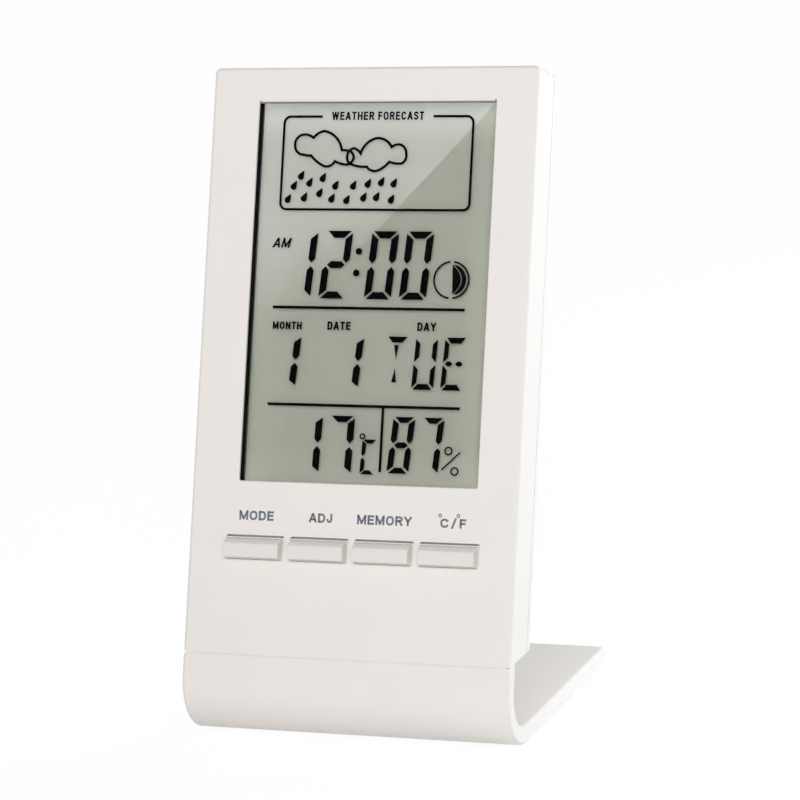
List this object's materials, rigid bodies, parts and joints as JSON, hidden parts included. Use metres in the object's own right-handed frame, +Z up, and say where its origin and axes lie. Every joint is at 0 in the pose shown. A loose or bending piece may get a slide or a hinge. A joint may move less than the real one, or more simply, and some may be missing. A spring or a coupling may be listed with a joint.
{
  "type": "digital hygrometer",
  "caption": "Slim table hygrometer with clock, calendar and forecast on a liquid crystal display over a row of keys, leaning back on a bent plate stand.",
  "frame": {"origin": "middle of the object's footprint, on the surface that the foot pads stand on", "axes": "+Z up, +X to the viewer's right when looking at the display, +Y from the display to the back"},
  "size_m": [0.072, 0.068, 0.1363],
  "materials": {
    "shell_plastic": "fine satin",
    "key_plastic": "satin",
    "black_rubber": "matt",
    "clear_pane": "clear",
    "display_backing": "satin foil",
    "pale_plastic": "matt",
    "board_green": "solder mask",
    "black_plastic": "satin",
    "component_ceramic": "matt",
    "brass_disc": "plain",
    "red_lead": "semi-gloss",
    "black_lead": "semi-gloss",
    "nickelled_steel": "nickelled"
  },
  "bodies": {
    "case_and_stand": {"stand": "shell_plastic", "foot_pad_1": "black_rubber", "foot_pad_2": "black_rubber", "foot_pad_3": "black_rubber", "foot_pad_4": "black_rubber", "front_housing": "shell_plastic", "rear_housing": "shell_plastic", "display_window": "clear_pane", "window_gasket": "black_rubber", "lcd_front_polarizer": "clear_pane", "lcd_front_glass": "clear_pane", "lcd_rear_glass": "clear_pane", "lcd_reflector": "display_backing", "lcd_frame": "pale_plastic", "zebra_strip_upper": "black_rubber", "zebra_strip_lower": "black_rubber", "main_board": "board_green", "chip_blob": "black_plastic", "quartz_crystal": "nickelled_steel", "capacitor_1": "component_ceramic", "capacitor_2": "component_ceramic", "capacitor_3": "component_ceramic", "humidity_sensor": "pale_plastic", "thermistor": "black_plastic", "piezo_disc": "brass_disc", "piezo_lead_1": "red_lead", "piezo_lead_2": "black_lead", "mode_switch": "black_plastic", "adjust_switch": "black_plastic", "memory_switch": "black_plastic", "unit_switch": "black_plastic", "battery_cell": "nickelled_steel", "contact_positive": "nickelled_steel", "contact_negative": "nickelled_steel", "lead_positive": "red_lead", "lead_negative": "black_lead", "housing_screw_1": "nickelled_steel", "housing_screw_2": "nickelled_steel", "housing_screw_3": "nickelled_steel", "housing_screw_4": "nickelled_steel", "board_screw_1": "nickelled_steel", "board_screw_2": "nickelled_steel", "board_screw_3": "nickelled_steel", "board_screw_4": "nickelled_steel"},
    "battery_door": {"battery_door": "shell_plastic"},
    "mode_key": {"mode_key": "key_plastic", "mode_plunger": "black_plastic"},
    "adjust_key": {"adjust_key": "key_plastic", "adjust_plunger": "black_plastic"},
    "memory_key": {"memory_key": "key_plastic", "memory_plunger": "black_plastic"},
    "unit_key": {"unit_key": "key_plastic", "unit_plunger": "black_plastic"}
  },
  "joints": [
    {"name": "battery_door_hinge", "type": "hinge", "parent": "case_and_stand", "child": "battery_door", "pos_m": [0, -0.0162, 0.02132], "axis": [-1, 0, 0], "range_deg": [0, 75]},
    {"name": "mode_key_press", "type": "slide", "parent": "case_and_stand", "child": "mode_key", "axis": [0, 0.9532, -0.3024], "range_m": [0, 0.0005], "stiffness_N_per_m": 400},
    {"name": "adjust_key_press", "type": "slide", "parent": "case_and_stand", "child": "adjust_key", "axis": [0, 0.9532, -0.3024], "range_m": [0, 0.0005], "stiffness_N_per_m": 400},
    {"name": "memory_key_press", "type": "slide", "parent": "case_and_stand", "child": "memory_key", "axis": [0, 0.9532, -0.3024], "range_m": [0, 0.0005], "stiffness_N_per_m": 400},
    {"name": "unit_key_press", "type": "slide", "parent": "case_and_stand", "child": "unit_key", "axis": [0, 0.9532, -0.3024], "range_m": [0, 0.0005], "stiffness_N_per_m": 400}
  ]
}
